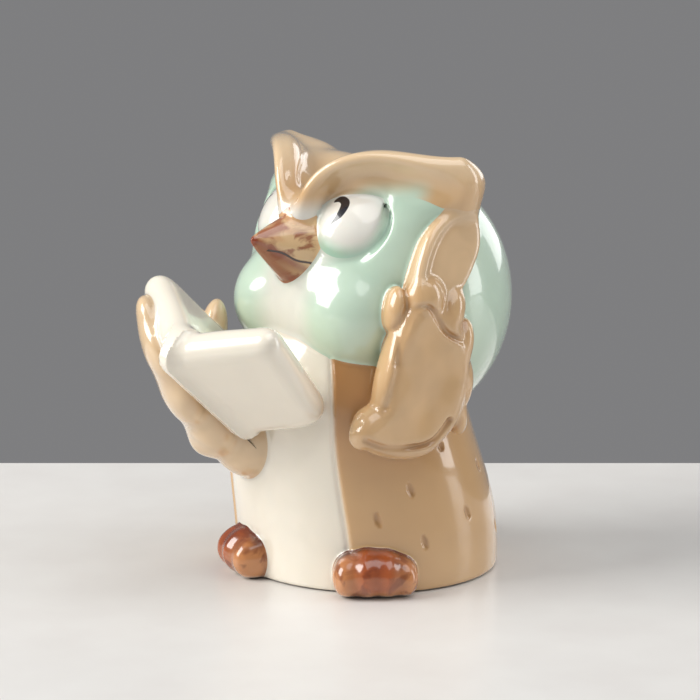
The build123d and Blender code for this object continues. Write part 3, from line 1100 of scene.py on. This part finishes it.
def draw_ink(n, ink_colour, line_width=None):
    """Ink inside the painted stroke, or along its edge when a line width in mm is given."""
    stroke = n.add("ShaderNodeAttribute", attribute_name="ink")
    edge = n.add("ShaderNodeMapRange", From_Min=-0.07, From_Max=0.10, To_Min=0.0, To_Max=1.0)
    if line_width is None:
        n.link(stroke, "Fac", edge, "Value")
    else:
        both_sides = n.add("ShaderNodeMath", operation="ABSOLUTE")
        n.link(stroke, "Fac", both_sides, "Value")
        edge.inputs["From Min"].default_value = line_width
        edge.inputs["From Max"].default_value = line_width * 0.4
        n.link(both_sides, "Value", edge, "Value")
    under = n.shader.inputs["Base Color"].links[0].from_node
    inked = n.blend(edge, "Result", (under, 2), tuple(ink_colour))
    n.link(inked, 2, n.shader, "Base Color")


def marbled_glaze(name, scale, stretch, dark, share):
    """Brushed iron glaze: the stored colour, with the painted shade on the feet, broken by darker and paler
    streaks.
    """
    n = Nodes(name)
    spread = n.add("ShaderNodeMapping")
    spread.inputs["Scale"].default_value = stretch
    n.link(n.place, "Object", spread, "Vector")
    streak = n.add("ShaderNodeTexNoise", Scale=scale, Detail=3.0, Distortion=1.0)
    n.link(spread, "Vector", streak, "Vector")
    colour = n.add("ShaderNodeAttribute", attribute_name="paint_and_shading")
    marble = n.ramp(streak, "Fac", [(0.5, gray(0.0)), (0.62, gray(share))])
    base = n.blend(marble, "Color", (colour, "Color"), tuple(dark))
    n.link(base, 2, n.shader, "Base Color")
    finish_glaze(n)
    return n


def rubber(name):
    n = Nodes(name)
    speck = n.ramp(n.noise(900.0, 4.0), "Fac", [
        (0.35, tuple(linear(205, 203, 196))), (0.65, tuple(linear(222, 220, 214)))])
    n.link(speck, "Color", n.shader, "Base Color")
    n.shader.inputs["Roughness"].default_value = 0.55
    n.shader.inputs["Subsurface Weight"].default_value = 0.2
    n.shader.inputs["Subsurface Radius"].default_value = (0.003, 0.003, 0.003)
    bump = n.add("ShaderNodeBump", Strength=0.25, Distance=0.0002)
    n.link(n.noise(700.0, 3.0), "Fac", bump, "Height")
    n.link(bump, "Normal", n.shader, "Normal")
    return n


def make_materials():
    plain = glaze("clear_glaze_paint")
    book_glaze = glaze("clear_glaze_cream", 0.03)
    wing_glaze = glaze("clear_glaze_wing", 0.10, 130.0)
    ink = inked_glaze("clear_glaze_ink", linear(22, 22, 34))
    beak_paint = marbled_glaze("iron_glaze_beak", 150.0, (1.0, 0.7, 1.6), RUST, 0.75)
    draw_ink(beak_paint, linear(58, 24, 12), 0.42)
    foot_paint = marbled_glaze("iron_glaze_foot", 190.0, (1.0, 1.0, 0.7), RUST * 0.6, 0.6)
    table = {"eye": ink, "beak": beak_paint, "foot": foot_paint, "wing": wing_glaze, "open": book_glaze}
    return lambda name: table.get(name.split("_")[0], plain).material


# ------------------------------------------------------------------ the studio
LOOK_AT = (0, 0, 0.06)   # middle of the object, metres
CAMERA_AZIMUTH = 29.5
CAMERA_ELEVATION = 12.5
CAMERA_DISTANCE = 0.9
LENS = 166.6             # on a sensor 36 mm wide
SENSOR = 36.0
SHIFT = (-0.0243, 0.0016)
TABLE_BACK = 0.108       # the table ends this far behind the object
TABLE_REACH = 6.0


def aim(thing):
    thing.rotation_euler = (Vector(LOOK_AT) - thing.location).to_track_quat("-Z", "Y").to_euler()


def polar(azimuth, elevation, distance):
    """A place round the object: azimuth 0 is in front, turning towards the owl's left."""
    a, e = math.radians(azimuth), math.radians(elevation)
    way = (math.sin(a) * math.cos(e), -math.cos(a) * math.cos(e), math.sin(e))
    return Vector(LOOK_AT) + Vector(way) * distance


def softbox(name, azimuth, elevation, distance, size, watts, tint=(1.0, 1.0, 1.0)):
    light = bpy.data.lights.new(name, "AREA")
    light.shape = "RECTANGLE"
    light.size, light.size_y = size
    light.energy = watts
    light.color = tint
    lamp = bpy.data.objects.new(name, light)
    lamp.location = polar(azimuth, elevation, distance)
    aim(lamp)
    bpy.context.collection.objects.link(lamp)


def studio():
    camera = bpy.data.objects.new("camera", bpy.data.cameras.new("camera"))
    bpy.context.collection.objects.link(camera)
    camera.location = polar(CAMERA_AZIMUTH, CAMERA_ELEVATION, CAMERA_DISTANCE)
    aim(camera)
    camera.data.sensor_width = SENSOR
    camera.data.lens = LENS
    camera.data.shift_x, camera.data.shift_y = SHIFT
    bpy.context.scene.camera = camera

    softbox("key_window", -48, 33, 1.3, (0.8, 0.9), 17, (1.0, 0.995, 0.97))
    softbox("top_fill", 70, 70, 1.5, (1.3, 1.3), 10)
    softbox("right_strip", 120, 20, 1.4, (0.4, 1.1), 5)
    softbox("rear_window", 172, 16, 1.6, (0.8, 0.9), 4)

    world = bpy.data.worlds.new("studio_air")
    world.use_nodes = True
    world.node_tree.nodes["Background"].inputs["Color"].default_value = (0.21, 0.21, 0.215, 1.0)
    world.node_tree.nodes["Background"].inputs["Strength"].default_value = 1.0
    bpy.context.scene.world = world
    bpy.context.scene.view_settings.view_transform = "Standard"

    mesh = bpy.data.meshes.new("table_top")
    away = Vector((-math.sin(math.radians(CAMERA_AZIMUTH)), math.cos(math.radians(CAMERA_AZIMUTH)), 0))
    across = Vector((away.y, -away.x, 0))
    corners = [away * TABLE_BACK - across * TABLE_REACH, away * TABLE_BACK + across * TABLE_REACH,
               across * TABLE_REACH - away * TABLE_REACH, -across * TABLE_REACH - away * TABLE_REACH]
    mesh.from_pydata([c[:] for c in corners], [], [(3, 2, 1, 0)])
    floor = bpy.data.objects.new("table_top", mesh)
    bpy.context.collection.objects.link(floor)
    n = Nodes("pale_laminate")
    grain = n.ramp(n.noise(40.0, 3.0), "Fac", [
        (0.3, tuple(linear(224, 221, 218))), (0.7, tuple(linear(229, 227, 224)))])
    n.link(grain, "Color", n.shader, "Base Color")
    n.shader.inputs["Roughness"].default_value = 0.32
    n.shader.inputs["Specular IOR Level"].default_value = 0.35
    mesh.materials.append(n.material)


studio()
material_for = make_materials()
points, slopes_out, faces, owners = sculpt()
for index, (name, _, _, _) in enumerate(PIECES):
    build_piece(index, points, slopes_out, faces, owners).data.materials.append(material_for(name))
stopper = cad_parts["base_stopper"]
stopper.data.materials.clear()
stopper.data.materials.append(rubber("soft_rubber").material)
